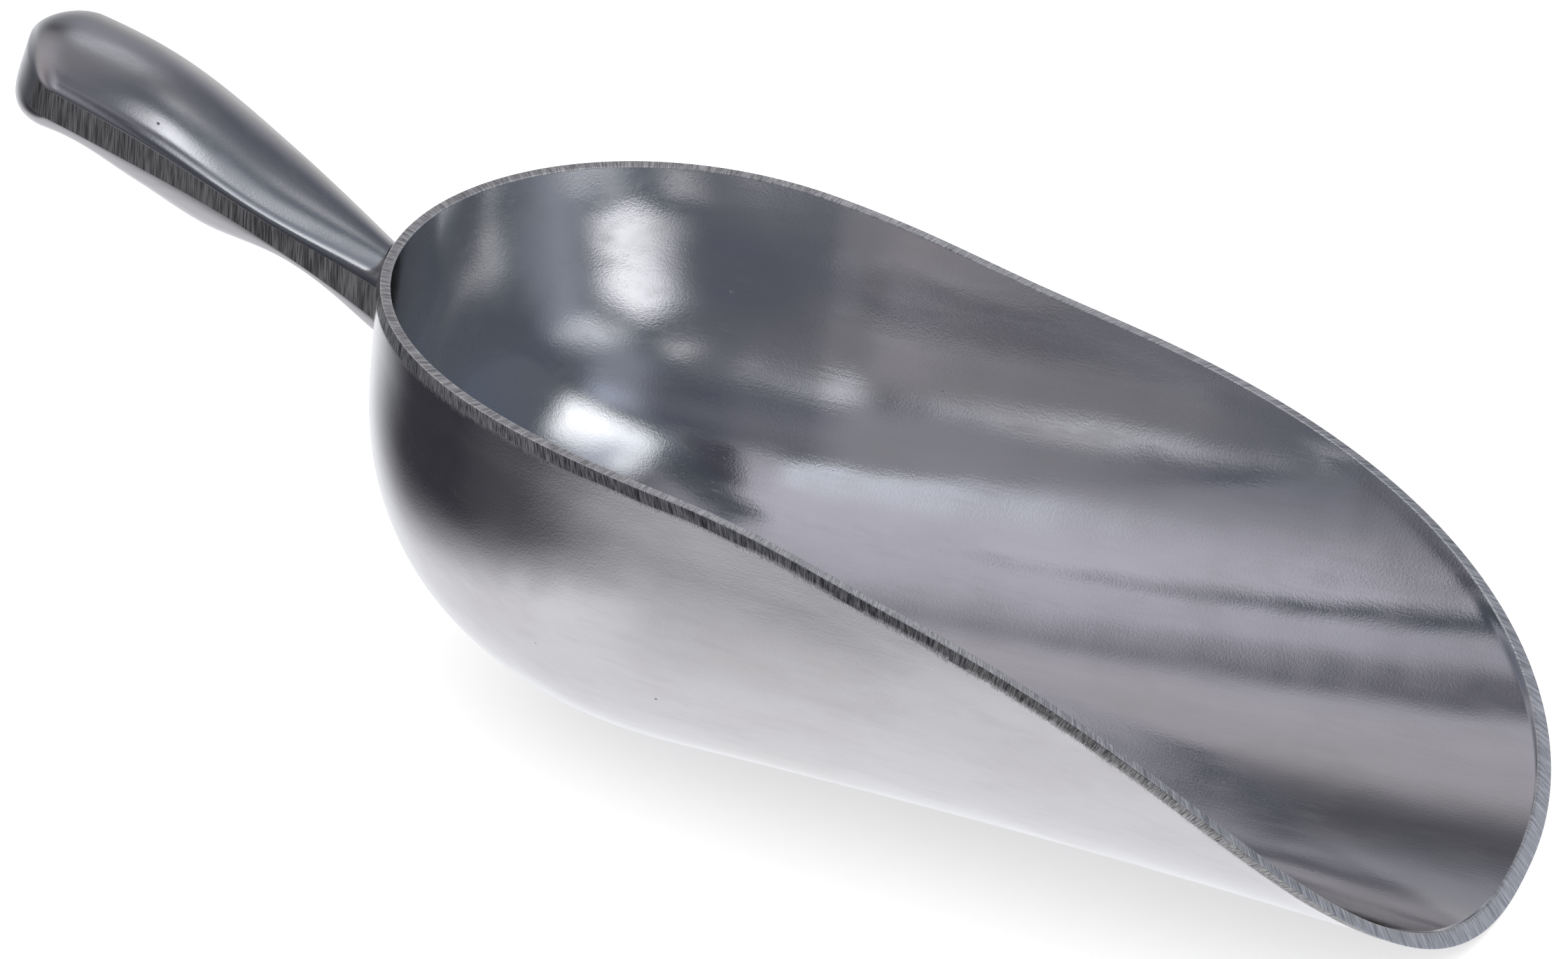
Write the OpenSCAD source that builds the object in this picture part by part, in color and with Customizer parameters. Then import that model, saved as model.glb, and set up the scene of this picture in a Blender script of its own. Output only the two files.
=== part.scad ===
// One-piece cast aluminium ice scoop with a ground rim and a contoured handle.
// The X axis runs from the handle to the mouth, and the part is symmetric about Y = 0.

/* [Bowl] */
// Length from the rear wall to the tip of the mouth
bowl_l = 264; // [240:1:290]
// Length of the rounded rear end, seen from above
dome_l = 82; // [72:1:92]
// Half width where the rounded rear end meets the sides
half_w = 64; // [56:0.5:72]
// Straight part of the flare of each side, per 100 mm towards the mouth
flare = 3; // [0:0.5:6]
// Curved part of the flare of each side, at 100 mm towards the mouth
flare_curve = 4.5; // [0:0.5:7]
// Height of the rim at the handle
rim_h = 93.5; // [86:0.5:100]
// Height at which the sides become upright
belly_h = 71.5; // [62:0.5:78]
// Fullness of the U section, where 2 is an ellipse and more is squarer
section_power = 2.35; // [2:0.05:3]
// Thickness of the floor
floor_t = 2.8; // [2:0.1:4]

/* [Rim] */
// Width of the flat ground top of the rim
lip_t = 2.3; // [1.8:0.1:3]
// Height of the ground band below the rim
band_h = 3; // [2:0.5:5]
// How far the ground band leans in at the rear, where it is widest
bevel_w = 0.8; // [0.4:0.1:1.2]

/* [Handle] */
// Distance from the rear wall to the end of the handle
handle_l = 85; // [75:1:100]
// Height of the handle's middle line at the bowl
handle_root_h = 82.2; // [80:0.1:84]
// Height of the handle's middle line at its end
handle_end_h = 123; // [110:1:130]
// How far the middle line arches up between its ends
handle_arch = 5.8; // [0:0.1:8]
// Length of the rounded end
end_round = 12; // [9:0.5:16]
// Share of the handle's length that is the neck
neck_share = 0.3; // [0.2:0.05:0.4]

/* [Hidden] */

// Side view of the rim, as control points in shares of bowl_l and rim_h
RIM_SHAPE = [[0, 1], [0.587, 1.053], [0.36, 0.561], [0.616, 1.118], [1, 0]];
RIM_LINE = [for (p = RIM_SHAPE) [p.x * bowl_l - dome_l, p.y * rim_h]];

// Handle section at equal steps from the bowl to the end
HALF_WIDTHS = [6.6, 13.8, 16.4, 15.8];
CROWNS = [5, 4.6, 6.2, 5];
BELLIES = [5, 4.2, 11, 9.6, 6.8, 11];
BANDS = [7.2, 4.3, 6.3, 7];
CROWN_POWER = 2;
END_WIDTH_POWER = 1.7;
END_HEIGHT_POWER = 3.2;

// The origin moves to the middle of the whole length
mid_x = (bowl_l - dome_l - dome_l - handle_l) / 2;
// Columns round half of the rear end, and along one side
DOME_COLS = 16;
SIDE_COLS = 26;
COLS = DOME_COLS + SIDE_COLS;
// Rows from the rim down to the floor
ROWS = 14;
// The neck enters the wall by this much
root_sink = 0.3;
// Sections of the handle up to its rounded end, of those the ones on the neck, and round the end
HANDLE_RINGS = 28;
NECK_RINGS = round(HANDLE_RINGS * neck_share);
END_RINGS = 9;
ARC_STEPS = 14;
// Share of the handle over which its sections turn
ROOT_SHARE = 0.3;
STEP = 0.001;

// Point on a Bezier curve through de Casteljau's rule
function bezier(p, t) =
    len(p) == 1 ? p[0]
    : bezier([for (i = [0 : len(p) - 2]) p[i] * (1 - t) + p[i + 1] * t], t);

// Point of the rim line moved down square to it by inset
function rim_point(t, inset) =
    let (d = bezier(RIM_LINE, min(t + STEP, 1)) - bezier(RIM_LINE, max(t - STEP, 0)))
    bezier(RIM_LINE, t) - inset * [-d.y, d.x] / norm(d);

// Curve parameter where the rim line passes x
function t_at_x(x, inset, lo = 0, hi = 1, n = 22) =
    let (m = (lo + hi) / 2)
    n == 0 ? m
    : rim_point(m, inset).x < x ? t_at_x(x, inset, m, hi, n - 1)
    : t_at_x(x, inset, lo, m, n - 1);

// Curve parameter where the rim line comes down to height z at the mouth
function t_at_z(z, inset, lo = 0.5, hi = 1, n = 22) =
    let (m = (lo + hi) / 2)
    n == 0 ? m
    : rim_point(m, inset).y > z ? t_at_z(z, inset, m, hi, n - 1)
    : t_at_z(z, inset, lo, m, n - 1);

function rim_z(x, inset) = rim_point(t_at_x(x, inset), inset).y;
function mouth_x(inset, floor_z) = rim_point(t_at_z(floor_z, inset), inset).x;

function half_width(x) = half_w + flare * x / 100 + flare_curve * pow(x / 100, 2);
function bevel(x) = bevel_w * (1 - (x + dome_l) / bowl_l);

// Share of the full width that the U section has at height z
function spread(z, floor_z) =
    pow(1 - pow(max(0, (belly_h - z) / (belly_h - floor_z)), section_power), 1 / section_power);

// A skin is [inset of its top edge, its offset outwards, height of its floor, 1 for the leaning face]
OUTER = [band_h, 0, 0, 1];
INNER = [band_h, -lip_t, floor_t, 0];
RIDGE = [0, 0, 0, 0];
RIM_INNER = [0, -lip_t, floor_t, 0];

function skin_offset(skin, x) = skin[1] + skin[3] * bevel(x);

// Distance of a side column along the bowl, closer together near the mouth
function column_x(k, skin) =
    mouth_x(skin[0], skin[2]) * (1 - pow(1 - (abs(k) - DOME_COLS) / SIDE_COLS, 2.1));

// Point of a skin on column k at share f of the height between its floor and its top edge
function skin_point(skin, k, f) =
    abs(k) <= DOME_COLS
    ? let (a = 90 * abs(k) / DOME_COLS,
           top = rim_z(-dome_l * cos(a), skin[0]),
           z = skin[2] + (top - skin[2]) * f,
           q = spread(z, skin[2]),
           x = -(dome_l + skin_offset(skin, -dome_l * cos(a))) * q * cos(a))
      [x, sign(k) * (half_width(x) + skin_offset(skin, x)) * q * sin(a), z]
    : let (x = column_x(k, skin),
           top = abs(k) == COLS ? skin[2] : rim_z(x, skin[0]),
           z = skin[2] + (top - skin[2]) * f)
      [x, sign(k) * (half_width(x) + skin_offset(skin, x)) * spread(z, skin[2]), z];

// Rows lie closer together near the floor
function row_share(i) = 1 - cos(90 * (1 - i / ROWS));

function skin_grid(skin) =
    [for (k = [-COLS : COLS]) for (i = [0 : ROWS]) skin_point(skin, k, row_share(i))];

// The two sides meet along the floor, the rear columns at one point, and the last columns at the tip
function grid_id(k, i) =
    abs(k) == COLS ? 0
    : i == ROWS && abs(k) <= DOME_COLS ? COLS * (ROWS + 1) + ROWS
    : (i == ROWS ? abs(k) + COLS : k + COLS) * (ROWS + 1) + i;

// A triangle, or nothing where two of its corners are the same
function tri(a, b, c) = a == b || b == c || a == c ? [] : [[a, b, c]];

function grid_faces(base, flip) =
    [for (k = [-COLS : COLS - 1]) for (i = [0 : ROWS - 1])
        let (a = base + grid_id(k, i),
             b = base + grid_id(k + 1, i),
             c = base + grid_id(k + 1, i + 1),
             d = base + grid_id(k, i + 1))
        each flip ? concat(tri(a, b, c), tri(a, c, d)) : concat(tri(a, c, b), tri(a, d, c))];

module bowl() {
    inner_base = (2 * COLS + 1) * (ROWS + 1);
    edge = [for (k = [-COLS : COLS - 1])
        let (a = grid_id(k, 0),
             b = grid_id(k + 1, 0),
             c = inner_base + b,
             d = inner_base + a)
        each concat(tri(a, b, c), tri(a, c, d))];
    color("#b4b7bf")
    translate([-mid_x, 0, 0])
    polyhedron(
        points = concat(skin_grid(OUTER), skin_grid(INNER)),
        faces = concat(grid_faces(0, false), grid_faces(inner_base, true), edge));
}

module rim() {
    skins = [RIDGE, RIM_INNER, INNER, OUTER];
    stations = 2 * COLS;
    points = [for (k = [-COLS : COLS - 1]) for (s = skins) skin_point(s, k, 1)];
    faces = [for (n = [0 : stations - 1]) for (s = [0 : 3])
        let (a = 4 * n + s,
             b = 4 * ((n + 1) % stations) + s,
             c = 4 * ((n + 1) % stations) + (s + 1) % 4,
             d = 4 * n + (s + 1) % 4)
        each s == 2 ? [[a, b, d], [b, c, d]] : [[a, b, c], [a, c, d]]];
    color("#cfd1d4")
    translate([-mid_x, 0, 0])
    polyhedron(points = points, faces = faces);
}

// Smooth curve through equally spaced values, at share s of the way
function along(v, s) =
    let (n = len(v) - 1,
         i = max(0, min(floor(s * n), n - 1)),
         u = s * n - i,
         p1 = v[i],
         p2 = v[i + 1],
         p0 = i > 0 ? v[i - 1] : 2 * p1 - p2,
         p3 = i < n - 1 ? v[i + 2] : 2 * p2 - p1)
    p1 + (p2 - p0) * u / 2 + (p0 - 2.5 * p1 + 2 * p2 - 0.5 * p3) * u * u
    + (1.5 * (p1 - p2) + (p3 - p0) / 2) * pow(u, 3);

function handle_mid(s) = [
    -dome_l - handle_l * s,
    handle_root_h + (handle_end_h - handle_root_h) * s + 4 * handle_arch * s * (1 - s)];

function handle_up(s) =
    let (d = handle_mid(s + STEP) - handle_mid(s - STEP))
    [d.y, -d.x] / norm(d);

end_share = end_round / norm([handle_l, handle_end_h - handle_root_h]);

// How much of the full section is left at share s, with power p in the rounded end
function end_scale(s, p) = pow(1 - pow(max(0, (s - 1 + end_share) / end_share), p), 1 / p);

function signed_pow(v, p) = sign(v) * pow(abs(v), p);

// Point of the handle at share s: y, rise and side say where it lies on the unit section
function handle_point(s, y, rise, side) =
    let (m = handle_mid(s),
         up = handle_up(s),
         w = along(HALF_WIDTHS, s) * end_scale(s, END_WIDTH_POWER),
         tall = along(rise > 0 ? CROWNS : BELLIES, s) * end_scale(s, END_HEIGHT_POWER),
         h = side * along(BANDS, s) / 2 + rise * tall)
    [m.x + up.x * h, w * y, m.y + up.y * h];

// Rear wall of the bowl at distance y from the middle
function wall_x(y) = -(dome_l + bevel_w) * sqrt(1 - pow(y / half_w, 2));

function ease(u) = u >= 1 ? 1 : u * u * (3 - 2 * u);

// One closed section of the handle: the crown, then the belly, with the flat band between them.
// Near the bowl the sections turn until the first one lies on its rear wall.
function handle_ring(s) =
    [for (half = [1, -1]) for (j = [0 : ARC_STEPS])
        let (a = 180 * j / ARC_STEPS,
             y = half * signed_pow(cos(a), 2 / CROWN_POWER),
             rise = half * pow(sin(a), 2 / CROWN_POWER),
             first = handle_point(0, y, rise, half),
             shift = (first.x - wall_x(first.y)) / handle_l,
             p = handle_point(s + shift * (1 - ease(s / ROOT_SHARE)), y, rise, half))
        s == 0 ? [wall_x(p.y) + root_sink, p.y, p.z] : p];

// Share of the handle's length at section i, closer together round the end
function ring_share(i) =
    i <= HANDLE_RINGS ? (1 - end_share) * i / HANDLE_RINGS
    : 1 - end_share * (1 - sin(84 * (i - HANDLE_RINGS) / END_RINGS));

function middle(ring) = [for (c = [0 : 2]) ([for (p = ring) p[c]] * [for (p = ring) 1]) / len(ring)];

// Closed solid through rings of equal length, with a fan over each end
module loft(rings) {
    n = len(rings[0]);
    last = n * (len(rings) - 1);
    points = concat([for (r = rings) each r], [middle(rings[0]), middle(rings[len(rings) - 1])]);
    sides = [for (r = [0 : len(rings) - 2]) for (i = [0 : n - 1])
        let (a = r * n + i,
             b = r * n + (i + 1) % n,
             c = b + n,
             d = a + n)
        each [[a, b, c], [a, c, d]]];
    ends = [for (i = [0 : n - 1])
        each [[(i + 1) % n, i, last + n], [last + i, last + (i + 1) % n, last + n + 1]]];
    polyhedron(points = points, faces = concat(sides, ends));
}

module neck() {
    color("#a9abb2")
    translate([-mid_x, 0, 0])
    loft([for (i = [0 : NECK_RINGS]) handle_ring(ring_share(i))]);
}

module grip() {
    color("#a2a4ab")
    translate([-mid_x, 0, 0])
    loft([for (i = [NECK_RINGS : HANDLE_RINGS + END_RINGS]) handle_ring(ring_share(i))]);
}

bowl();
rim();
neck();
grip();
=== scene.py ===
"""One-piece cast aluminium ice scoop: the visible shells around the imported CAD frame, their materials, and a plain studio."""

import math

import bmesh
import bpy
import numpy as np
from mathutils import Matrix, Vector, noise


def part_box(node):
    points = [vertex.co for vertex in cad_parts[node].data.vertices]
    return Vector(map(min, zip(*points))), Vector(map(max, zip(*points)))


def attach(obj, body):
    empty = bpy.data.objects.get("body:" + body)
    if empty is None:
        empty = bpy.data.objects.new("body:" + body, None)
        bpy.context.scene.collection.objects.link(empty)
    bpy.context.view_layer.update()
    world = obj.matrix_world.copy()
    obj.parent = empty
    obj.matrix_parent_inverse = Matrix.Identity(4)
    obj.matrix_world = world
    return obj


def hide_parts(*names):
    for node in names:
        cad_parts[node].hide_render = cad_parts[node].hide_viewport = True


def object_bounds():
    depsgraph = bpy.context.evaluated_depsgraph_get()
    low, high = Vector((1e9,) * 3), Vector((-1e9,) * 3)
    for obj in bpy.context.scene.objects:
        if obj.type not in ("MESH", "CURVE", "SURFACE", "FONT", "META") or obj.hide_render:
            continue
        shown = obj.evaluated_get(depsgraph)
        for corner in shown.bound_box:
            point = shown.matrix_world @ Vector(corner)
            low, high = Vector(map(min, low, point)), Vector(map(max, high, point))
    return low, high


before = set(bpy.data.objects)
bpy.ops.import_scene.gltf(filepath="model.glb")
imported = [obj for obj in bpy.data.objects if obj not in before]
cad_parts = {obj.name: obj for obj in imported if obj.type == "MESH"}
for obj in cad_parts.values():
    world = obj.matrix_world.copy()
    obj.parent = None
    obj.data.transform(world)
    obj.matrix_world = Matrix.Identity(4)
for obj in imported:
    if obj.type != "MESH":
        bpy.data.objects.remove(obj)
cad_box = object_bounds()

# ---------------------------------------------------------------- dimensions

MM = 0.001
RIM_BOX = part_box("rim")

BEVEL_W = 0.8 * MM
REAR_X = RIM_BOX[0].x + BEVEL_W
TIP_X = RIM_BOX[1].x
BOWL_L = TIP_X - REAR_X
DOME_L = 82 * MM
# where the round back meets the straight trough
START_X = REAR_X + DOME_L
HALF_W = 63.98 * MM
FLARE = 0.03
FLARE_CURVE = 0.45 / 1.0
RIM_H = 93.5 * MM
BELLY_H = 71.5 * MM
SECTION_POWER = 2.35
FLOOR_T = 2.8 * MM
LIP_T = 2.3 * MM
BAND_H = 3 * MM
# side view of the rim, in shares of the bowl's length and height
RIM_SHAPE = ((0, 1), (0.587, 1.053), (0.36, 0.561), (0.616, 1.118), (1, 0))

HANDLE_L = 84.998 * MM
HANDLE_ROOT_H = 82.2 * MM
HANDLE_END_H = 123 * MM
HANDLE_ARCH = 5.8 * MM
END_ROUND = 12 * MM
# over this share of the handle its sections turn from square to the handle to flat on the bowl
ROOT_SHARE = 0.3
HALF_WIDTHS = (6.6, 13.8, 16.4, 15.8)
CROWNS = (5, 4.6, 6.19, 5)
BELLIES = (5, 4.2, 11, 9.6, 6.8, 11)
BANDS = (7.2, 4.3, 6.3, 7)
CROWN_POWER = 2
END_WIDTH_POWER = 1.7
END_HEIGHT_POWER = 3.2

DOME_COLS = 44
SIDE_COLS = 84
COLS = DOME_COLS + SIDE_COLS
ROWS = 44
ARC_STEPS = 40
BAND_STEPS = 5

# ---------------------------------------------------------------- shape of the bowl


def bezier(points, t):
    """Points of a Bezier curve at the parameters t, by de Casteljau's rule."""
    rows = [np.multiply.outer(np.ones_like(t), np.array(p, float)) for p in points]
    while len(rows) > 1:
        rows = [a + (b - a) * t[..., None] for a, b in zip(rows, rows[1:])]
    return rows[0]


RIM_LINE = [(REAR_X + x * BOWL_L, z * RIM_H) for x, z in RIM_SHAPE]


def rim_point(t, inset):
    """The rim line in the XZ plane, moved down square to itself by inset."""
    step = 0.001
    d = bezier(RIM_LINE, np.minimum(t + step, 1)) - bezier(RIM_LINE, np.maximum(t - step, 0))
    d /= np.linalg.norm(d, axis=-1, keepdims=True)
    square = np.stack([-d[..., 1], d[..., 0]], -1)
    return bezier(RIM_LINE, t) - np.asarray(inset)[..., None] * square


def bisect(test, lo, hi, like):
    """The parameter in lo..hi below which test is true, by halving."""
    lo = np.full_like(like, lo, dtype=float)
    hi = np.full_like(like, hi, dtype=float)
    for _ in range(34):
        mid = (lo + hi) / 2
        below = test(mid)
        lo = np.where(below, mid, lo)
        hi = np.where(below, hi, mid)
    return lo


def rim_z(x, inset):
    t = bisect(lambda m: rim_point(m, inset)[..., 0] < x, 0, 1, x + inset)
    return rim_point(t, inset)[..., 1]


def mouth_x(inset, floor_z):
    t = bisect(lambda m: rim_point(m, inset)[..., 1] > floor_z, 0.5, 1, inset + floor_z)
    return rim_point(t, inset)[..., 0]


def half_width(x):
    u = x - START_X
    return HALF_W + FLARE * u + FLARE_CURVE * u**2


def bevel(x):
    return BEVEL_W * (TIP_X - x) / BOWL_L


def spread(z, floor_z):
    """Share of its full width that the U section has at height z."""
    drop = np.maximum(0, (BELLY_H - z) / (BELLY_H - floor_z))
    return (1 - np.minimum(1, drop) ** SECTION_POWER) ** (1 / SECTION_POWER)


def skin_point(col, share, inset, outset, floor_z, lean):
    """Points of a skin of the bowl. col runs from the tip along one side, round the back and along the other side;
    share is of the height between the skin's floor and its top edge, which lies inset below the rim line.
    outset moves the skin outwards, and lean adds that share of the bevel."""
    col, share, inset, outset, lean = np.broadcast_arrays(*(np.asarray(v, float) for v in (col, share, inset, outset, lean)))
    k = np.abs(col)
    turn = np.radians(90) * np.minimum(k / DOME_COLS, 1)
    top_x = START_X - DOME_L * np.cos(turn)
    along = np.clip((k - DOME_COLS) / SIDE_COLS, 0, 1)
    side_x = START_X + (mouth_x(inset, np.full_like(inset, floor_z)) - START_X) * (1 - (1 - along) ** 2.1)
    on_dome = k <= DOME_COLS
    top = rim_z(np.where(on_dome, top_x, side_x), inset)
    top = np.where(k >= COLS, floor_z, top)
    z = floor_z + (top - floor_z) * share
    q = spread(z, floor_z)
    out = outset + lean * bevel(np.where(on_dome, top_x, side_x))
    x = np.where(on_dome, START_X - (DOME_L + out) * q * np.cos(turn), side_x)
    y = np.sign(col) * (half_width(x) + out) * q * np.where(on_dome, np.sin(turn), 1)
    return np.stack([x, y, z], -1)


# ---------------------------------------------------------------- mesh making


def smooth_noise(points, scale, seed):
    """Soft noise in -1..1 at the points, with features about scale metres across."""
    shift = Vector((seed * 7.3, seed * 3.1, seed * 5.7))
    flat = points.reshape(-1, 3) / scale
    return np.array([noise.noise(Vector(p) + shift) for p in flat]).reshape(points.shape[:-1])


def ease(v, lo, hi):
    u = np.clip((v - lo) / (hi - lo), 0, 1)
    return u * u * (3 - 2 * u)


def make(name, points, faces, uvs=None, slots=None, materials=()):
    """A mesh object. uvs holds one pair per vertex, slots one material number per face."""
    mesh = bpy.data.meshes.new(name)
    mesh.from_pydata([tuple(p) for p in points], [], faces)
    for m in materials:
        mesh.materials.append(m)
    whole = bmesh.new()
    whole.from_mesh(mesh)
    bmesh.ops.recalc_face_normals(whole, faces=whole.faces)
    whole.to_mesh(mesh)
    whole.free()
    if slots is not None:
        mesh.polygons.foreach_set("material_index", slots)
    mesh.polygons.foreach_set("use_smooth", [True] * len(mesh.polygons))
    mesh.set_sharp_from_angle(angle=math.radians(35))
    if uvs is not None:
        layer = mesh.uv_layers.new(name="Along")
        index = np.zeros(len(mesh.loops), int)
        mesh.loops.foreach_get("vertex_index", index)
        layer.data.foreach_set("uv", np.asarray(uvs, float)[index].ravel())
    piece = bpy.data.objects.new(name, mesh)
    bpy.context.scene.collection.objects.link(piece)
    return piece


def even_normals(piece):
    """Lets the large flat faces rule the shading, so that narrow roundings stay narrow."""
    even = piece.modifiers.new("even", "WEIGHTED_NORMAL")
    even.weight = 90
    even.keep_sharp = True


def weld(points, faces, uvs, slots, gap=1e-6):
    """Joins points that lie together, and drops faces that this closes up."""
    keys = {}
    remap = []
    kept = []
    for n, p in enumerate(points):
        key = tuple(np.round(np.asarray(p) / gap).astype(int))
        if key not in keys:
            keys[key] = len(kept)
            kept.append(n)
        remap.append(keys[key])
    out, out_slots = [], []
    for f, s in zip(faces, slots):
        ids = []
        for v in (remap[i] for i in f):
            if v not in ids:
                ids.append(v)
        if len(ids) > 2:
            out.append(ids)
            out_slots.append(s)
    return points[kept], out, (None if uvs is None else uvs[kept]), out_slots


def run_lengths(line):
    steps = np.linalg.norm(np.diff(line, axis=0), axis=-1)
    return np.concatenate([[0], np.cumsum(steps)])


# ---------------------------------------------------------------- bowl shell

LIP_ROUND = 0.3 * MM
RIDGE_ROUND = 0.25 * MM


def band_depth(ridge):
    """How far below the rim line the ground band ends: a ragged line, as a hand-held belt leaves it."""
    return BAND_H * (0.85 + 0.12 * smooth_noise(ridge, 12 * MM, 5))


# wrinkles in the wall: place, width, height and depth
DENTS = (
    (-26.5 * MM, -61 * MM, 54 * MM, 1.3 * MM, 5.5 * MM, 0.32 * MM),
    (-38.5 * MM, -58 * MM, 52 * MM, 1.6 * MM, 5 * MM, 0.22 * MM),
)


def cast_skin(inset, outset, floor_z, lean, seed):
    """One side of the bowl's wall, with the slight unevenness of a casting, which fades out at the rim."""
    pts = skin_point(columns[:, None], shares[None, :], inset[:, None], outset, floor_z, lean)
    swell = 0.10 * MM * smooth_noise(pts, 45 * MM, seed) + 0.035 * MM * smooth_noise(pts, 14 * MM, seed + 1)
    inward = -pts
    inward[..., 0] = -np.minimum(pts[..., 0] - START_X, 0)
    inward[..., 2] = BELLY_H - pts[..., 2]
    inward /= np.maximum(np.linalg.norm(inward, axis=-1, keepdims=True), 1e-9)
    fade = ease(1 - shares, 0, 0.12)[None, :]
    for x, y, z, wide, tall, deep in DENTS if outset == 0 else ():
        near = np.hypot((pts[..., 0] - x) / wide, (pts[..., 2] - z) / tall)
        swell = swell + deep * np.exp(-(near**2)) * (np.sign(pts[..., 1]) == np.sign(y))
    return pts + inward * ((0.14 * MM + swell) * fade)[..., None]


columns = np.arange(-COLS, COLS + 1)
shares = 1 - np.cos(np.radians(90) * (1 - np.arange(ROWS + 1) / ROWS))


def bowl_shell():
    ridge = skin_point(columns, 1, np.zeros(len(columns)), 0.0, 0.0, 0.0)
    outer = cast_skin(band_depth(ridge), 0.0, 0.0, 1.0, 3)
    inner = cast_skin(np.full(len(columns), LIP_ROUND), -LIP_T, FLOOR_T, 0.0, 11)
    n = ROWS + 1
    base = len(columns) * n
    points = np.concatenate([outer.reshape(-1, 3), inner.reshape(-1, 3)])
    around = np.broadcast_to(run_lengths(ridge)[:, None], outer.shape[:2])
    below = np.linalg.norm(outer - outer[:, :1], axis=-1)
    # the inner skin is far from the ground band
    uvs = np.concatenate([np.stack([around, below], -1).reshape(-1, 2), np.stack([around, below + 1], -1).reshape(-1, 2)])
    faces = []
    for c in range(2 * COLS):
        a, b = c * n, (c + 1) * n
        faces.append((a, b, base + b, base + a))
        for r in range(ROWS):
            faces.append((a + r, a + r + 1, b + r + 1, b + r))
            faces.append((base + a + r, base + b + r, base + b + r + 1, base + a + r + 1))
    points, faces, uvs, slots = weld(points, faces, uvs, [0] * len(faces))
    return make("bowl_shell", points, faces, uvs, slots, [cast_metal])


# ---------------------------------------------------------------- ground rim


def round_corner(before, corner, after, radius, steps=4):
    """Points of a small arc that replaces a corner."""
    a = corner + unit(before - corner) * radius
    b = corner + unit(after - corner) * radius
    return [a * (1 - t) ** 2 + corner * 2 * t * (1 - t) + b * t**2 for t in np.linspace(0, 1, steps)]


def unit(v):
    return v / np.maximum(np.linalg.norm(v, axis=-1, keepdims=True), 1e-9)


def ground_rim():
    cols = np.linspace(-COLS, COLS, 8 * COLS + 1)[:-1]
    fixed = np.zeros_like(cols)
    ridge = skin_point(cols, 1, fixed, 0.0, 0.0, 0.0)
    lip = skin_point(cols, 1, fixed, -LIP_T, FLOOR_T, 0.0)
    wall = skin_point(cols, 1, fixed + LIP_ROUND, -LIP_T, FLOOR_T, 0.0)
    foot = skin_point(cols, 1, band_depth(ridge), 0.0, 0.0, 1.0)
    # inside the metal, where the shell covers them
    tuck_in = skin_point(cols, 1, fixed + 1.5 * MM, 0.5 * MM - LIP_T, FLOOR_T - 0.5 * MM, 0.0)
    tuck_out = skin_point(cols, 1, fixed + BAND_H + 0.6 * MM, -0.5 * MM, 0.5 * MM, 1.0)
    lip_face = [lip + (ridge - lip) * p for p in (0.35, 0.7)]
    corner_in = round_corner(wall, lip, ridge, LIP_ROUND)
    corner_out = round_corner(lip, ridge, foot, RIDGE_ROUND)
    band_face = [ridge + (foot - ridge) * p for p in (0.4, 0.7)]
    rings = [tuck_in, *corner_in, *lip_face, *corner_out, *band_face, foot, tuck_out]
    lip_end = 1 + len(corner_in) + len(lip_face) + len(corner_out) // 2
    stack = np.stack(rings, 1)
    n = stack.shape[1]
    around = run_lengths(np.concatenate([ridge, ridge[:1]]))[:-1]
    across = np.concatenate([[0], np.cumsum(np.linalg.norm(np.diff(stack, axis=1), axis=-1).mean(0))])
    uvs = np.stack(np.broadcast_arrays(around[:, None], across[None, :]), -1).reshape(-1, 2)
    faces, slots = [], []
    count = len(cols)
    for c in range(count):
        d = (c + 1) % count
        for r in range(n):
            s = (r + 1) % n
            faces.append((c * n + r, d * n + r, d * n + s, c * n + s))
            slots.append(0 if r < lip_end else 1)
    points, faces, uvs, slots = weld(stack.reshape(-1, 3), faces, uvs, slots)
    piece = make("ground_rim", points, faces, uvs, slots, [lit_ground_lip, shaded_ground_band])
    even_normals(piece)
    return piece


# ---------------------------------------------------------------- handle


def along(values, s):
    """Smooth curve through equally spaced values in millimetres, at shares s."""
    v = np.array(values, float) * MM
    n = len(v) - 1
    i = np.clip(np.floor(s * n), 0, n - 1).astype(int)
    u = s * n - i
    padded = np.concatenate([[2 * v[0] - v[1]], v, [2 * v[-1] - v[-2]]])
    p0, p1, p2, p3 = (padded[i + k] for k in range(4))
    return (
        p1
        + (p2 - p0) * u / 2
        + (p0 - 2.5 * p1 + 2 * p2 - 0.5 * p3) * u**2
        + (1.5 * (p1 - p2) + (p3 - p0) / 2) * u**3
    )


def handle_mid(s):
    return np.stack(
        [
            REAR_X - HANDLE_L * s,
            HANDLE_ROOT_H + (HANDLE_END_H - HANDLE_ROOT_H) * s + 4 * HANDLE_ARCH * s * (1 - s),
        ],
        -1,
    )


END_SHARE = END_ROUND / math.hypot(HANDLE_L, HANDLE_END_H - HANDLE_ROOT_H)


def end_scale(s, power):
    u = np.clip((s - 1 + END_SHARE) / END_SHARE, 0, 1)
    return (1 - u**power) ** (1 / power)


def section(a, side_of):
    """Unit section of the handle: how far each point lies to the side, and up the crown or belly."""
    y = np.sign(np.cos(a)) * np.abs(np.cos(a)) ** (2 / CROWN_POWER)
    return side_of * y, side_of * np.abs(np.sin(a)) ** (2 / CROWN_POWER)


def handle_points(s, y_unit, rise_unit, band_unit):
    """Points of the handle at shares s, which may differ round the section."""
    mid = handle_mid(s)
    d = handle_mid(s + 0.001) - handle_mid(s - 0.001)
    d /= np.linalg.norm(d, axis=-1, keepdims=True)
    w = along(HALF_WIDTHS, s) * end_scale(s, END_WIDTH_POWER)
    tall = np.where(rise_unit > 0, along(CROWNS, s), along(BELLIES, s)) * end_scale(s, END_HEIGHT_POWER)
    h = band_unit * along(BANDS, s) / 2 + rise_unit * tall
    return np.stack([mid[..., 0] + d[..., 1] * h, w * y_unit, mid[..., 1] - d[..., 0] * h], -1)


def rear_wall(y):
    return START_X - (DOME_L + BEVEL_W) * np.sqrt(1 - (y / HALF_W) ** 2)


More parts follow.
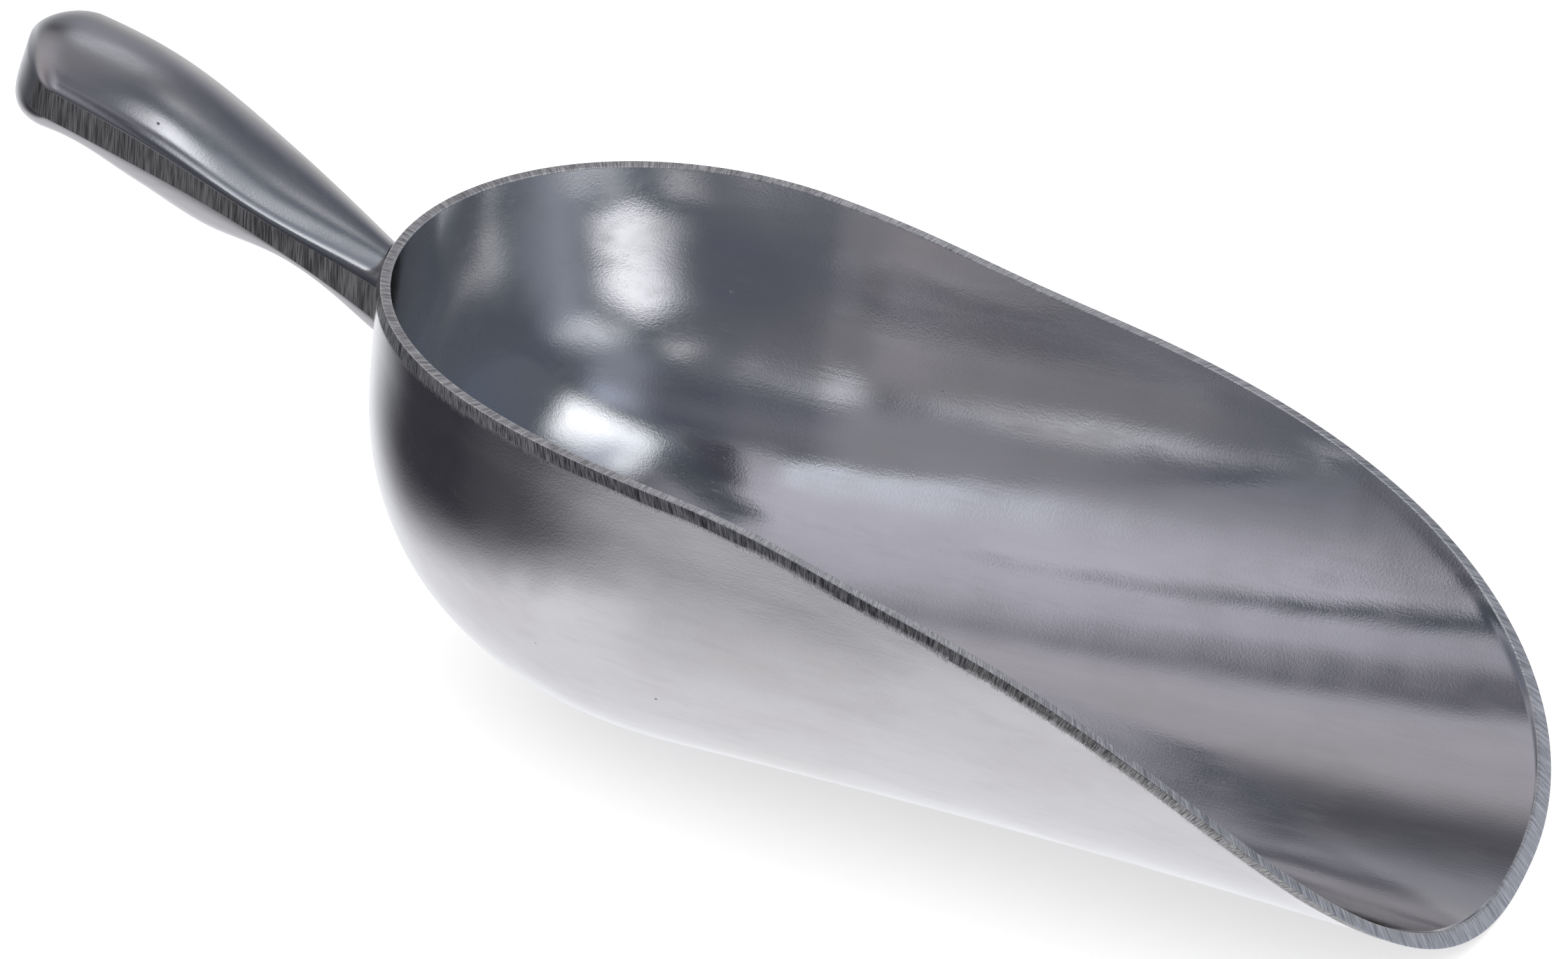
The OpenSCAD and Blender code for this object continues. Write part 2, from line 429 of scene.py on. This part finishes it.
def handle():
    body = np.linspace(0, 1 - END_SHARE, 90)[:-1]
    cap = 1 - END_SHARE * (1 - np.sin(np.radians(np.linspace(0, 89, 26))))
    s = np.concatenate([body, cap])[:, None]
    turn = np.radians(180) * (0.5 - 0.5 * np.cos(np.radians(180) * np.linspace(0, 1, ARC_STEPS + 1)))
    flat = 1 - 2 * np.arange(1, BAND_STEPS) / BAND_STEPS
    y_unit, rise_unit, band_unit, slots_round = [], [], [], []
    for side_of in (1, -1):
        y, rise = section(turn, side_of)
        y_unit += [*y, *np.full(len(flat), -side_of)]
        rise_unit += [*rise, *np.zeros(len(flat))]
        band_unit += [*np.full(len(y), side_of), *(side_of * flat)]
        slots_round += [0] * ARC_STEPS + [1] * BAND_STEPS
    y_unit, rise_unit, band_unit = (np.array(v, float)[None, :] for v in (y_unit, rise_unit, band_unit))
    first = handle_points(np.zeros_like(s[:1]), y_unit, rise_unit, band_unit)
    shift = (first[..., 0] - rear_wall(first[..., 1])) / HANDLE_L
    pts = handle_points(s + shift * (1 - ease(s, 0, ROOT_SHARE)), y_unit, rise_unit, band_unit)
    # the first section carries on straight into the wall
    step = pts[1] - pts[2]
    pts[0] = pts[1] + step * ((rear_wall(pts[1, :, 1]) + 0.3 * MM - pts[1, :, 0]) / step[:, 0])[:, None]
    n = pts.shape[1]
    reach = run_lengths(handle_mid(s[:, 0]))
    girth = run_lengths(pts[60])
    uvs = np.stack(np.broadcast_arrays(reach[:, None], girth[None, :]), -1).reshape(-1, 2)
    faces, slots = [], []
    for r in range(len(s) - 1):
        for i in range(n):
            j = (i + 1) % n
            faces.append((r * n + i, r * n + j, (r + 1) * n + j, (r + 1) * n + i))
            # the belt does not reach the rounded end
            slots.append(slots_round[i] if s[r] < 1 - 0.6 * END_SHARE else 0)
    last = (len(s) - 1) * n
    faces.append(tuple(last + i for i in range(n)))
    faces.append(tuple(reversed(range(n))))
    slots += [0, 0]
    return make("handle", pts.reshape(-1, 3), faces, uvs, slots, [shaded_handle_metal, shaded_ground_side])


# ---------------------------------------------------------------- materials


def add_node(tree, kind, inputs=(), **settings):
    node = tree.nodes.new(kind)
    for key, value in settings.items():
        setattr(node, key, value)
    for socket, value in inputs:
        if isinstance(value, bpy.types.NodeSocket):
            tree.links.new(value, node.inputs[socket])
        else:
            node.inputs[socket].default_value = value
    return node


def mix_colour(tree, factor, a, b):
    return add_node(tree, "ShaderNodeMix", ((0, factor), (6, a), (7, b)), data_type="RGBA").outputs[2]


class Metal:
    """A metal material, and short names for the nodes that give it grain."""

    def __init__(self, name, colour, roughness):
        self.material = bpy.data.materials.new(name)
        self.material.use_nodes = True
        self.tree = self.material.node_tree
        self.shader = self.tree.nodes["Principled BSDF"]
        self.shader.inputs["Metallic"].default_value = 1
        self.shader.inputs["Base Color"].default_value = (*colour, 1)
        self.shader.inputs["Roughness"].default_value = roughness
        self.place = add_node(self.tree, "ShaderNodeTexCoord").outputs["Object"]
        self.along = add_node(self.tree, "ShaderNodeUVMap", uv_map="Along").outputs["UV"]
        self.normal = None

    def stretch(self, source, size, turn=(0, 0, 0)):
        """source in units of size, so that noise of scale 1 has features of that size."""
        return add_node(
            self.tree, "ShaderNodeMapping", ((0, source), (2, turn), (3, size)), vector_type="TEXTURE"
        ).outputs[0]

    def grain(self, source, size, detail=2.0, turn=(0, 0, 0), rough=0.5):
        at = self.stretch(source, size, turn)
        return add_node(self.tree, "ShaderNodeTexNoise", (("Vector", at), ("Scale", 1.0), ("Detail", detail), ("Roughness", rough))).outputs[0]

    def level(self, value, low, high, to_low=0.0, to_high=1.0):
        return add_node(
            self.tree, "ShaderNodeMapRange", ((0, value), (1, low), (2, high), (3, to_low), (4, to_high)), interpolation_type="SMOOTHSTEP"
        ).outputs[0]

    def math(self, operation, a, b=0.0):
        return add_node(self.tree, "ShaderNodeMath", ((0, a), (1, b)), operation=operation).outputs[0]

    def bump(self, height, depth, strength=1.0):
        inputs = [("Strength", strength), ("Distance", depth), ("Height", height)]
        if self.normal is not None:
            inputs.append(("Normal", self.normal))
        self.normal = add_node(self.tree, "ShaderNodeBump", inputs).outputs[0]
        self.tree.links.new(self.normal, self.shader.inputs["Normal"])

    def blend(self, factor, a, b):
        return mix_colour(self.tree, factor, a, b)

    def drive(self, socket, value):
        self.tree.links.new(value, self.shader.inputs[socket])


def grey(v, warm=0.0):
    return (v * (1 + warm), v, v * (1 - warm), 1)


STROKE = 0.22 * MM
BELT_SLANT = math.radians(20)
ORANGE_PEEL = 0.6 * MM


def cast_finish(name, value, gloss, edge_strokes):
    """Polished casting: orange peel, brushing along the scoop, smudges and a few pits."""
    m = Metal(name, (value, value, value), 0.15)
    peel = m.grain(m.place, (ORANGE_PEEL,) * 3, 1.5)
    fine = m.grain(m.place, (0.3 * MM,) * 3, 1.0)
    brushed = m.grain(m.place, (14 * MM, 0.5 * MM, 0.5 * MM), 3.0)
    brush_patch = m.level(m.grain(m.place, (60 * MM, 25 * MM, 25 * MM), 2.0), 0.42, 0.62)
    wave = m.grain(m.place, (16 * MM,) * 3, 1.0)
    smudge = m.level(m.grain(m.place, (38 * MM, 20 * MM, 20 * MM), 4.0, rough=0.6), 0.40, 0.68)
    wiped = m.level(m.grain(m.place, (20 * MM, 3 * MM, 3 * MM), 4.0, rough=0.65), 0.45, 0.75)
    cells = add_node(m.tree, "ShaderNodeTexVoronoi", (("Vector", m.stretch(m.place, (7 * MM,) * 3)), ("Scale", 1.0), ("Randomness", 1.0)))
    rare = m.math("GREATER_THAN", add_node(m.tree, "ShaderNodeSeparateColor", ((0, cells.outputs["Color"]),)).outputs[0], 0.86)
    pit = m.math("MULTIPLY", m.level(cells.outputs["Distance"], 0.02, 0.055, 1, 0), rare)
    colour = m.blend(smudge, grey(value), grey(value * 0.93, 0.012))
    colour = m.blend(m.math("MULTIPLY", wiped, 0.5), colour, grey(value * 0.9, 0.008))
    colour = m.blend(m.math("MULTIPLY", pit, 0.8), colour, grey(0.2))
    hair = m.grain(m.place, (9 * MM, 0.22 * MM, 0.22 * MM), 2.0, turn=(0, math.radians(4), math.radians(5)))
    scratch = m.math("MULTIPLY", m.level(hair, 0.66, 0.74), m.level(brush_patch, 0.2, 1))
    rough = m.math("ADD", m.level(smudge, 0, 1, gloss, gloss + 0.05), m.math("MULTIPLY", wiped, 0.05))
    rough = m.math("ADD", rough, m.math("MULTIPLY", scratch, 0.16))
    rough = m.math("ADD", rough, m.math("MULTIPLY", pit, 0.3))
    m.bump(wave, 0.10 * MM)
    m.bump(m.math("MULTIPLY", brushed, brush_patch), 0.008 * MM)
    m.bump(peel, 0.009 * MM)
    m.bump(fine, 0.003 * MM)
    m.bump(m.math("SUBTRACT", 1.0, pit), 0.08 * MM)
    if edge_strokes:
        # the grinding runs out over the edge of the band in single strokes
        reach = add_node(m.tree, "ShaderNodeSeparateXYZ", ((0, m.along),)).outputs[1]
        strokes = m.grain(m.along, (STROKE, 4 * MM, 1.0), 1.0, turn=(0, 0, BELT_SLANT))
        run_out = m.level(strokes, 0.35, 0.75, 0.1 * MM, 1.3 * MM)
        ground = m.math("LESS_THAN", reach, run_out)
        # the strokes are coloured dark like the ground band: real grind marks, with painted shade in their dark level
        colour = m.blend(m.math("MULTIPLY", ground, 0.75), colour, m.blend(m.level(strokes, 0.3, 0.7), grey(0.22), grey(0.6)))
        rough = m.math("ADD", rough, m.math("MULTIPLY", ground, 0.22))
    m.drive("Base Color", colour)
    m.drive("Roughness", rough)
    return m.material


def ground_finish(name, dark, light, roughness, size, source="along", depth=0.02 * MM, turn=(0, 0, 0)):
    """Metal ground with a coarse belt: fine strokes side by side, of uneven depth."""
    m = Metal(name, (light, light, light), roughness)
    source = m.along if source == "along" else m.place
    strokes = m.grain(source, size, 2.0, turn)
    broad = m.grain(source, tuple(v * 4 for v in size), 2.0, turn)
    shade = m.level(m.math("ADD", m.math("MULTIPLY", strokes, 0.7), m.math("MULTIPLY", broad, 0.3)), 0.36, 0.64)
    m.drive("Base Color", m.blend(shade, grey(dark), grey(light, 0.01)))
    m.drive("Roughness", m.level(broad, 0.3, 0.7, roughness - 0.08, roughness + 0.08))
    m.bump(strokes, depth)
    return m.material


cast_metal = cast_finish("cast_aluminium", 0.80, 0.085, True)
# the handle is the same cast aluminium as the bowl; its darker colour, 0.60 against 0.80, is painted shade
shaded_handle_metal = cast_finish("shaded_handle_aluminium", 0.60, 0.19, False)
# the lip, the band and the handle's side flats are one belt-ground metal: their stroke grain is real, but the lip's
# lighter level is painted light and the darker levels of the band and side flats are painted shade
lit_ground_lip = ground_finish("lit_ground_lip", 0.48, 0.95, 0.36, (STROKE, 4 * MM, 1.0), turn=(0, 0, -BELT_SLANT / 2))
shaded_ground_band = ground_finish("shaded_ground_band", 0.15, 0.62, 0.40, (STROKE, 3 * MM, 1.0), turn=(0, 0, BELT_SLANT))
shaded_ground_side = ground_finish("shaded_ground_side", 0.13, 0.42, 0.42, (STROKE * 1.2, 4 * MM, 7 * MM), source="place")

# ---------------------------------------------------------------- pieces

shell = bowl_shell()
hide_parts("bowl")
rim = ground_rim()
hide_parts("rim")
grip = handle()
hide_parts("neck", "grip")
for piece in (shell, rim, grip):
    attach(piece, "root")

# ---------------------------------------------------------------- stage

FLOOR = 6.0
floor_mesh = bpy.data.meshes.new("floor")
floor_mesh.from_pydata([(x * FLOOR, y * FLOOR, 0) for x, y in ((-1, -1), (1, -1), (1, 1), (-1, 1))], [], [(0, 1, 2, 3)])
floor = bpy.data.objects.new("floor", floor_mesh)
bpy.context.scene.collection.objects.link(floor)
floor.location.z = cad_box[0].z
floor.visible_glossy = False
floor_paint = bpy.data.materials.new("floor")
floor_paint.use_nodes = True
floor_paint.node_tree.nodes["Principled BSDF"].inputs["Base Color"].default_value = (0.97, 0.97, 0.97, 1)
floor_paint.node_tree.nodes["Principled BSDF"].inputs["Roughness"].default_value = 1
# a lit sweep, as a white studio table is, so that only a trace of shadow stays on it
floor_paint.node_tree.nodes["Principled BSDF"].inputs["Emission Color"].default_value = (1, 1, 1, 1)
floor_paint.node_tree.nodes["Principled BSDF"].inputs["Emission Strength"].default_value = 0.45
floor_paint.node_tree.nodes["Principled BSDF"].inputs["Specular IOR Level"].default_value = 0
floor_mesh.materials.append(floor_paint)

# The studio that the metal reflects: panels and flags far away, each (azimuth, elevation, width, height, tilt,
# softness of its edge, colour), in degrees. Azimuth 0 is where the camera stands, and 90 is at the mouth. Later ones hide earlier ones.
CEILING = (0.02, 0.02, 0.02)
WALLS = (0.12, 0.13, 0.16)
GROUND = (0.77, 0.76, 0.80)
# elevations in degrees where the walls have turned into the ceiling, and where they turn into the ground
SKY_RISE = 71
FALL_START = 15
FALL_END = 51
PANELS = (
    ("front_flag", -87, -33, 140, 22, -2, 9, (0.04, 0.04, 0.05)),
    ("rear_bounce", -147, -20, 31, 111, -25, 25, (1.0, 1.02, 1.06)),
    ("low_flag", 15, -37, 33, 45, -3, 19, (0.0, 0.0, 0.01)),
    ("overhead", -97, 47, 119, 31, -46, 10, (0.48, 0.45, 0.48)),
    ("front_column", -13, 61, 45, 82, -6, 22, (0.52, 0.51, 0.59)),
    ("dark_column", 14, 7, 14, 83, 1, 3, (0.06, 0.06, 0.08)),
    ("slate", 25, 39, 11, 60, 26, 3, (0.06, 0.07, 0.09)),
    ("key", 49, 28, 29, 20, -45, 6, (2.1, 2.15, 2.25)),
    ("blue_side", 114, 27, 85, 72, 14, 17, (0.1, 0.12, 0.16)),
    ("side_panel", 98, 38, 102, 11, -12, 10, (0.4, 0.43, 0.52)),
    ("high_key", 96, 61, 30, 16, 5, 5, (1.69, 1.72, 1.83)),
    ("rear_spot", 132, 7, 20, 18, -12, 6, (0.68, 0.75, 0.96)),
    ("rear_light", -190, -21, 45, 62, -26, 24, (0.84, 0.83, 0.84)),
    ("high_flag", 90, 78, 50, 24, -4, 10, (0.12, 0.13, 0.17)),
    ("strip", 109, 39, 24, 10, 3, 6, (0.96, 1.0, 1.1)),
    ("top_spot", -183, 79, 7, 7, 8, 5, (1.24, 1.24, 1.34)),
    ("back_strip", -186, 25, 30, 23, 36, 9, (0.35, 0.35, 0.41)),
    ("back_flag", -187, 56, 11, 57, 0, 4, (0.25, 0.25, 0.28)),
    ("side_flag", 156, 22, 29, 15, 16, 8, (0.09, 0.1, 0.14)),
    ("front_spot", -14, 33, 8, 16, 23, 6, (0.77, 0.82, 0.92)),
    ("strip_top", 147, 42, 8, 9, -2, 5, (0.9, 0.9, 0.95)),
    ("wedge_flag", -170, 36, 18, 6, -5, 10, (0.04, 0.04, 0.05)),
    ("back_spot", 174, 38, 9, 12, -9, 6, (0.9, 0.92, 1.0)),
    ("zenith_flag", -68, 86, 19, 7, -9, 5, (0.08, 0.08, 0.1)),
)


def direction(azimuth, elevation):
    a, e = math.radians(azimuth), math.radians(elevation)
    return Vector((math.sin(a) * math.cos(e), -math.cos(a) * math.cos(e), math.sin(e)))


def panel_mask(tree, ray, azimuth, elevation, width, height, tilt, soft):
    face = direction(azimuth, elevation)
    right = Vector((math.cos(math.radians(azimuth)), math.sin(math.radians(azimuth)), 0))
    rise = face.cross(right) * -1
    if rise.z < 0:
        rise.negate()
    turn = math.radians(tilt)
    right, rise = right * math.cos(turn) + rise * math.sin(turn), rise * math.cos(turn) - right * math.sin(turn)
    blur = math.sin(math.radians(soft))
    masks = []
    for axis, size in ((right, width), (rise, height)):
        half = math.sin(math.radians(size / 2))
        dot = add_node(tree, "ShaderNodeVectorMath", ((0, ray), (1, axis)), operation="DOT_PRODUCT")
        away = add_node(tree, "ShaderNodeMath", ((0, dot.outputs["Value"]),), operation="ABSOLUTE")
        fade = add_node(
            tree,
            "ShaderNodeMapRange",
            ((0, away.outputs[0]), (1, half + blur), (2, half - blur), (3, 0.0), (4, 1.0)),
            interpolation_type="SMOOTHSTEP",
        )
        masks.append(fade.outputs[0])
    dot = add_node(tree, "ShaderNodeVectorMath", ((0, ray), (1, face)), operation="DOT_PRODUCT")
    ahead = add_node(tree, "ShaderNodeMath", ((0, dot.outputs["Value"]), (1, 0.0)), operation="GREATER_THAN")
    both = add_node(tree, "ShaderNodeMath", ((0, masks[0]), (1, masks[1])), operation="MULTIPLY")
    return add_node(tree, "ShaderNodeMath", ((0, both.outputs[0]), (1, ahead.outputs[0])), operation="MULTIPLY").outputs[0]


def add_world():
    world = bpy.data.worlds.new("studio")
    bpy.context.scene.world = world
    world.use_nodes = True
    tree = world.node_tree
    background = tree.nodes["Background"]
    ray = add_node(tree, "ShaderNodeTexCoord").outputs["Generated"]
    height = add_node(tree, "ShaderNodeSeparateXYZ", ((0, ray),)).outputs["Z"]
    rise = add_node(
        tree, "ShaderNodeMapRange", ((0, height), (1, 0.0), (2, math.sin(math.radians(SKY_RISE)))), interpolation_type="SMOOTHSTEP"
    )
    fall = add_node(
        tree,
        "ShaderNodeMapRange",
        ((0, height), (1, -math.sin(math.radians(FALL_START))), (2, -math.sin(math.radians(FALL_END)))),
        interpolation_type="SMOOTHSTEP",
    )
    colour = mix_colour(tree, rise.outputs[0], (*WALLS, 1), (*CEILING, 1))
    colour = mix_colour(tree, fall.outputs[0], colour, (*GROUND, 1))
    for _name, azimuth, elevation, width, tall, tilt, soft, tint in PANELS:
        mask = panel_mask(tree, ray, azimuth, elevation, width, tall, tilt, soft)
        colour = mix_colour(tree, mask, colour, (*tint, 1))
    glossy = add_node(tree, "ShaderNodeLightPath").outputs["Is Glossy Ray"]
    shown = mix_colour(tree, glossy, (1, 1, 1, 1), colour)
    tree.links.new(shown, background.inputs["Color"])


add_world()

# ---------------------------------------------------------------- camera

CAM_AZIMUTH = 14.14
CAM_ELEVATION = 33.71
CAM_ROLL = 5.09
CAM_DISTANCE = 4.5
CAM_LENS = 478.2
# where the lens points: beside and above the middle of the bowl
AIM = Vector((START_X + 60 * MM, 0, 40 * MM))
AIM_SHIFT = (-46.68 * MM, 25.53 * MM)


def add_camera():
    az, el, roll = (math.radians(v) for v in (CAM_AZIMUTH, CAM_ELEVATION, CAM_ROLL))
    back = Vector((math.sin(az) * math.cos(el), -math.cos(az) * math.cos(el), math.sin(el)))
    right = Vector((math.cos(az), math.sin(az), 0))
    up = back.cross(right)
    right, up = right * math.cos(roll) + up * math.sin(roll), up * math.cos(roll) - right * math.sin(roll)
    target = AIM + right * AIM_SHIFT[0] + up * AIM_SHIFT[1]
    cam = bpy.data.objects.new("camera", bpy.data.cameras.new("camera"))
    bpy.context.scene.collection.objects.link(cam)
    place = target + back * CAM_DISTANCE
    cam.matrix_world = Matrix([(right[i], up[i], back[i], place[i]) for i in range(3)] + [(0, 0, 0, 1)])
    cam.data.sensor_width = 36
    cam.data.lens = CAM_LENS
    cam.data.clip_start = 0.1
    cam.data.clip_end = 50
    bpy.context.scene.camera = cam


add_camera()
bpy.context.scene.view_settings.view_transform = "Standard"
